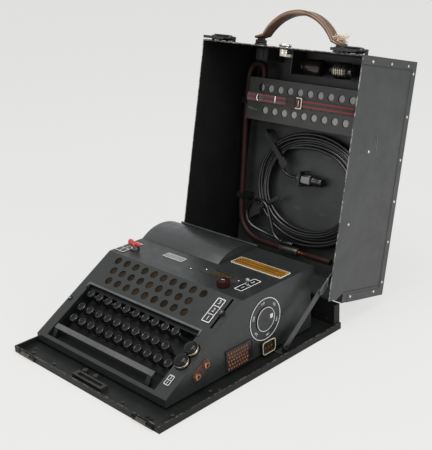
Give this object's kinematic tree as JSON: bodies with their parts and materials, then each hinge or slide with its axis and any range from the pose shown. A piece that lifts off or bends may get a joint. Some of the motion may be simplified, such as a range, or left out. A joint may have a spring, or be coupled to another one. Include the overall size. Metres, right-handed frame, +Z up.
{
  "type": "rotor cipher machine",
  "caption": "Portable rotor cipher machine with round keys and lamp windows on a sloping front, in a metal case whose open lid holds a second lamp panel, a coiled lead and a handle.",
  "frame": {"origin": "middle of the base tray's flat underside", "axes": "+X to the operator's right, +Y to the back where the lid is hinged, +Z up"},
  "size_m": [0.32, 0.5549, 0.4532],
  "materials": {
    "case_paint": "hammered grey enamel, satin",
    "body_paint": "slate grey enamel, satin",
    "deck_paint": "matt black",
    "panel_paint": "slate grey enamel, satin",
    "selector_paint": "satin with white lines",
    "label_plate": "printed plate",
    "rust_steel": "worn, partly rusted",
    "zinc_steel": "zinc plated",
    "rotor_metal": "machined",
    "nickel": "nickel plated",
    "brass": "tarnished",
    "red_plastic": "glossy red",
    "bakelite": "black phenolic",
    "key_plastic": "black with nickel ring",
    "lamp_film": "amber film over a board",
    "black_rubber": "black",
    "cable_rubber": "red-brown",
    "webbing": "black webbing with red edges",
    "handle_leather": "brown, worn"
  },
  "bodies": {
    "machine_base": {"base_tray": "case_paint", "tray_fittings": "rust_steel", "housing_shell": "body_paint", "housing_trim": "label_plate", "keyboard_deck": "deck_paint", "lamp_board": "lamp_film", "drive_chassis": "zinc_steel", "side_sockets": "bakelite"},
    "lid": {"lid_shell": "case_paint", "lid_fittings": "brass", "remote_lamp_panel": "panel_paint", "panel_strap": "webbing", "lead_coil": "black_rubber", "lead_tail": "black_rubber", "lead_plug": "bakelite", "lamp_cable": "cable_rubber"},
    "rotor_stack_body": {"rotor_stack": "rotor_metal"},
    "rotor_cover_body": {"rotor_cover": "body_paint"},
    "mode_lever_body": {"mode_lever": "red_plastic"},
    "counter_reset_knob_body": {"counter_reset_knob": "red_plastic"},
    "toggle_knob_body": {"toggle_knob": "nickel"},
    "range_slider_body": {"range_slider": "bakelite"},
    "voltage_selector_body": {"voltage_selector": "selector_paint"},
    "stay_arm_body": {"stay_arm": "case_paint"},
    "stay_link_body": {"stay_link": "case_paint"},
    "carrying_handle_body": {"carrying_handle": "handle_leather"},
    "lid_latches_body": {"lid_latches": "case_paint"},
    "key_1_01_body": {"key_1_01": "key_plastic"},
    "key_1_02_body": {"key_1_02": "key_plastic"},
    "key_1_03_body": {"key_1_03": "key_plastic"},
    "key_1_04_body": {"key_1_04": "key_plastic"},
    "key_1_05_body": {"key_1_05": "key_plastic"},
    "key_1_06_body": {"key_1_06": "key_plastic"},
    "key_1_07_body": {"key_1_07": "key_plastic"},
    "key_1_08_body": {"key_1_08": "key_plastic"},
    "key_1_09_body": {"key_1_09": "key_plastic"},
    "key_1_10_body": {"key_1_10": "key_plastic"},
    "key_2_01_body": {"key_2_01": "key_plastic"},
    "key_2_02_body": {"key_2_02": "key_plastic"},
    "key_2_03_body": {"key_2_03": "key_plastic"},
    "key_2_04_body": {"key_2_04": "key_plastic"},
    "key_2_05_body": {"key_2_05": "key_plastic"},
    "key_2_06_body": {"key_2_06": "key_plastic"},
    "key_2_07_body": {"key_2_07": "key_plastic"},
    "key_2_08_body": {"key_2_08": "key_plastic"},
    "key_2_09_body": {"key_2_09": "key_plastic"},
    "key_2_10_body": {"key_2_10": "key_plastic"},
    "key_3_01_body": {"key_3_01": "key_plastic"},
    "key_3_02_body": {"key_3_02": "key_plastic"},
    "key_3_03_body": {"key_3_03": "key_plastic"},
    "key_3_04_body": {"key_3_04": "key_plastic"},
    "key_3_05_body": {"key_3_05": "key_plastic"},
    "key_3_06_body": {"key_3_06": "key_plastic"},
    "key_3_07_body": {"key_3_07": "key_plastic"},
    "key_3_08_body": {"key_3_08": "key_plastic"},
    "key_3_09_body": {"key_3_09": "key_plastic"},
    "key_3_10_body": {"key_3_10": "key_plastic"},
    "key_3_11_body": {"key_3_11": "key_plastic"},
    "function_key_front_body": {"function_key_front": "key_plastic"},
    "function_key_rear_body": {"function_key_rear": "key_plastic"}
  },
  "joints": [
    {"name": "lid_hinge", "type": "hinge", "parent": "machine_base", "child": "lid", "pos_m": [0, 0.18246, 0.041], "axis": [1, 0, 0], "range_deg": [0, 102.5]},
    {"name": "rotor_cover_hinge", "type": "hinge", "parent": "machine_base", "child": "rotor_cover_body", "pos_m": [-0.157, 0.15826, 0.10488], "axis": [1, 0, 0], "range_deg": [-90, 0]},
    {"name": "rotor_spin", "type": "hinge", "parent": "machine_base", "child": "rotor_stack_body", "pos_m": [-0.152, 0.10876, 0.07488], "axis": [1, 0, 0], "continuous": true},
    {"name": "mode_lever_turn", "type": "hinge", "parent": "machine_base", "child": "mode_lever_body", "pos_m": [-0.129, 0.03106, 0.10288], "axis": [0, 0, 1], "range_deg": [-45, 45]},
    {"name": "counter_reset_turn", "type": "hinge", "parent": "machine_base", "child": "counter_reset_knob_body", "pos_m": [0.077, 0.02006, 0.10288], "axis": [0, 0, 1], "continuous": true},
    {"name": "toggle_tilt", "type": "hinge", "parent": "machine_base", "child": "toggle_knob_body", "pos_m": [0.102, 0.04356, 0.10213], "axis": [1, 0, 0], "range_deg": [-20, 20]},
    {"name": "range_slide", "type": "slide", "parent": "machine_base", "child": "range_slider_body", "axis": [0, 0.8625, 0.506], "range_m": [-0.018, 0.018]},
    {"name": "voltage_selector_turn", "type": "hinge", "parent": "machine_base", "child": "voltage_selector_body", "pos_m": [0.13, 0.04656, 0.0587], "axis": [1, 0, 0], "range_deg": [-150, 150]},
    {"name": "key_1_01_press", "type": "slide", "parent": "machine_base", "child": "key_1_01_body", "axis": [0, 0.506, -0.8625], "range_m": [0, 0.005], "stiffness_N_per_m": 150, "springref_m": -0.003},
    {"name": "key_1_02_press", "type": "slide", "parent": "machine_base", "child": "key_1_02_body", "axis": [0, 0.506, -0.8625], "range_m": [0, 0.005], "stiffness_N_per_m": 150, "springref_m": -0.003},
    {"name": "key_1_03_press", "type": "slide", "parent": "machine_base", "child": "key_1_03_body", "axis": [0, 0.506, -0.8625], "range_m": [0, 0.005], "stiffness_N_per_m": 150, "springref_m": -0.003},
    {"name": "key_1_04_press", "type": "slide", "parent": "machine_base", "child": "key_1_04_body", "axis": [0, 0.506, -0.8625], "range_m": [0, 0.005], "stiffness_N_per_m": 150, "springref_m": -0.003},
    {"name": "key_1_05_press", "type": "slide", "parent": "machine_base", "child": "key_1_05_body", "axis": [0, 0.506, -0.8625], "range_m": [0, 0.005], "stiffness_N_per_m": 150, "springref_m": -0.003},
    {"name": "key_1_06_press", "type": "slide", "parent": "machine_base", "child": "key_1_06_body", "axis": [0, 0.506, -0.8625], "range_m": [0, 0.005], "stiffness_N_per_m": 150, "springref_m": -0.003},
    {"name": "key_1_07_press", "type": "slide", "parent": "machine_base", "child": "key_1_07_body", "axis": [0, 0.506, -0.8625], "range_m": [0, 0.005], "stiffness_N_per_m": 150, "springref_m": -0.003},
    {"name": "key_1_08_press", "type": "slide", "parent": "machine_base", "child": "key_1_08_body", "axis": [0, 0.506, -0.8625], "range_m": [0, 0.005], "stiffness_N_per_m": 150, "springref_m": -0.003},
    {"name": "key_1_09_press", "type": "slide", "parent": "machine_base", "child": "key_1_09_body", "axis": [0, 0.506, -0.8625], "range_m": [0, 0.005], "stiffness_N_per_m": 150, "springref_m": -0.003},
    {"name": "key_1_10_press", "type": "slide", "parent": "machine_base", "child": "key_1_10_body", "axis": [0, 0.506, -0.8625], "range_m": [0, 0.005], "stiffness_N_per_m": 150, "springref_m": -0.003},
    {"name": "key_2_01_press", "type": "slide", "parent": "machine_base", "child": "key_2_01_body", "axis": [0, 0.506, -0.8625], "range_m": [0, 0.005], "stiffness_N_per_m": 150, "springref_m": -0.003},
    {"name": "key_2_02_press", "type": "slide", "parent": "machine_base", "child": "key_2_02_body", "axis": [0, 0.506, -0.8625], "range_m": [0, 0.005], "stiffness_N_per_m": 150, "springref_m": -0.003},
    {"name": "key_2_03_press", "type": "slide", "parent": "machine_base", "child": "key_2_03_body", "axis": [0, 0.506, -0.8625], "range_m": [0, 0.005], "stiffness_N_per_m": 150, "springref_m": -0.003},
    {"name": "key_2_04_press", "type": "slide", "parent": "machine_base", "child": "key_2_04_body", "axis": [0, 0.506, -0.8625], "range_m": [0, 0.005], "stiffness_N_per_m": 150, "springref_m": -0.003},
    {"name": "key_2_05_press", "type": "slide", "parent": "machine_base", "child": "key_2_05_body", "axis": [0, 0.506, -0.8625], "range_m": [0, 0.005], "stiffness_N_per_m": 150, "springref_m": -0.003},
    {"name": "key_2_06_press", "type": "slide", "parent": "machine_base", "child": "key_2_06_body", "axis": [0, 0.506, -0.8625], "range_m": [0, 0.005], "stiffness_N_per_m": 150, "springref_m": -0.003},
    {"name": "key_2_07_press", "type": "slide", "parent": "machine_base", "child": "key_2_07_body", "axis": [0, 0.506, -0.8625], "range_m": [0, 0.005], "stiffness_N_per_m": 150, "springref_m": -0.003},
    {"name": "key_2_08_press", "type": "slide", "parent": "machine_base", "child": "key_2_08_body", "axis": [0, 0.506, -0.8625], "range_m": [0, 0.005], "stiffness_N_per_m": 150, "springref_m": -0.003},
    {"name": "key_2_09_press", "type": "slide", "parent": "machine_base", "child": "key_2_09_body", "axis": [0, 0.506, -0.8625], "range_m": [0, 0.005], "stiffness_N_per_m": 150, "springref_m": -0.003},
    {"name": "key_2_10_press", "type": "slide", "parent": "machine_base", "child": "key_2_10_body", "axis": [0, 0.506, -0.8625], "range_m": [0, 0.005], "stiffness_N_per_m": 150, "springref_m": -0.003},
    {"name": "key_3_01_press", "type": "slide", "parent": "machine_base", "child": "key_3_01_body", "axis": [0, 0.506, -0.8625], "range_m": [0, 0.005], "stiffness_N_per_m": 150, "springref_m": -0.003},
    {"name": "key_3_02_press", "type": "slide", "parent": "machine_base", "child": "key_3_02_body", "axis": [0, 0.506, -0.8625], "range_m": [0, 0.005], "stiffness_N_per_m": 150, "springref_m": -0.003},
    {"name": "key_3_03_press", "type": "slide", "parent": "machine_base", "child": "key_3_03_body", "axis": [0, 0.506, -0.8625], "range_m": [0, 0.005], "stiffness_N_per_m": 150, "springref_m": -0.003},
    {"name": "key_3_04_press", "type": "slide", "parent": "machine_base", "child": "key_3_04_body", "axis": [0, 0.506, -0.8625], "range_m": [0, 0.005], "stiffness_N_per_m": 150, "springref_m": -0.003},
    {"name": "key_3_05_press", "type": "slide", "parent": "machine_base", "child": "key_3_05_body", "axis": [0, 0.506, -0.8625], "range_m": [0, 0.005], "stiffness_N_per_m": 150, "springref_m": -0.003},
    {"name": "key_3_06_press", "type": "slide", "parent": "machine_base", "child": "key_3_06_body", "axis": [0, 0.506, -0.8625], "range_m": [0, 0.005], "stiffness_N_per_m": 150, "springref_m": -0.003},
    {"name": "key_3_07_press", "type": "slide", "parent": "machine_base", "child": "key_3_07_body", "axis": [0, 0.506, -0.8625], "range_m": [0, 0.005], "stiffness_N_per_m": 150, "springref_m": -0.003},
    {"name": "key_3_08_press", "type": "slide", "parent": "machine_base", "child": "key_3_08_body", "axis": [0, 0.506, -0.8625], "range_m": [0, 0.005], "stiffness_N_per_m": 150, "springref_m": -0.003},
    {"name": "key_3_09_press", "type": "slide", "parent": "machine_base", "child": "key_3_09_body", "axis": [0, 0.506, -0.8625], "range_m": [0, 0.005], "stiffness_N_per_m": 150, "springref_m": -0.003},
    {"name": "key_3_10_press", "type": "slide", "parent": "machine_base", "child": "key_3_10_body", "axis": [0, 0.506, -0.8625], "range_m": [0, 0.005], "stiffness_N_per_m": 150, "springref_m": -0.003},
    {"name": "key_3_11_press", "type": "slide", "parent": "machine_base", "child": "key_3_11_body", "axis": [0, 0.506, -0.8625], "range_m": [0, 0.005], "stiffness_N_per_m": 150, "springref_m": -0.003},
    {"name": "function_key_front_press", "type": "slide", "parent": "machine_base", "child": "function_key_front_body", "axis": [0, 0.506, -0.8625], "range_m": [0, 0.005], "stiffness_N_per_m": 150, "springref_m": -0.003},
    {"name": "function_key_rear_press", "type": "slide", "parent": "machine_base", "child": "function_key_rear_body", "axis": [0, 0.506, -0.8625], "range_m": [0, 0.005], "stiffness_N_per_m": 150, "springref_m": -0.003},
    {"name": "stay_arm_pivot", "type": "hinge", "parent": "machine_base", "child": "stay_arm_body", "pos_m": [0.148, 0.06796, 0.013], "axis": [1, 0, 0], "range_deg": [-19.2, 0]},
    {"name": "stay_elbow", "type": "hinge", "parent": "stay_arm_body", "child": "stay_link_body", "pos_m": [0.1505, 0.14588, 0.07076], "axis": [1, 0, 0], "range_deg": [0, 210.58]},
    {"name": "handle_swing", "type": "hinge", "parent": "lid", "child": "carrying_handle_body", "pos_m": [0, 0.28313, 0.39809], "axis": [1, 0, 0], "range_deg": [-60, 60]},
    {"name": "latch_swing", "type": "hinge", "parent": "lid", "child": "lid_latches_body", "pos_m": [0, 0.24817, 0.40533], "axis": [1, 0, 0], "range_deg": [-110, 0]}
  ],
  "couplings": [
    {"joint": "stay_arm_pivot", "follows": "lid_hinge", "ratio": -0.1872},
    {"joint": "stay_elbow", "follows": "lid_hinge", "ratio": 2.0543}
  ]
}
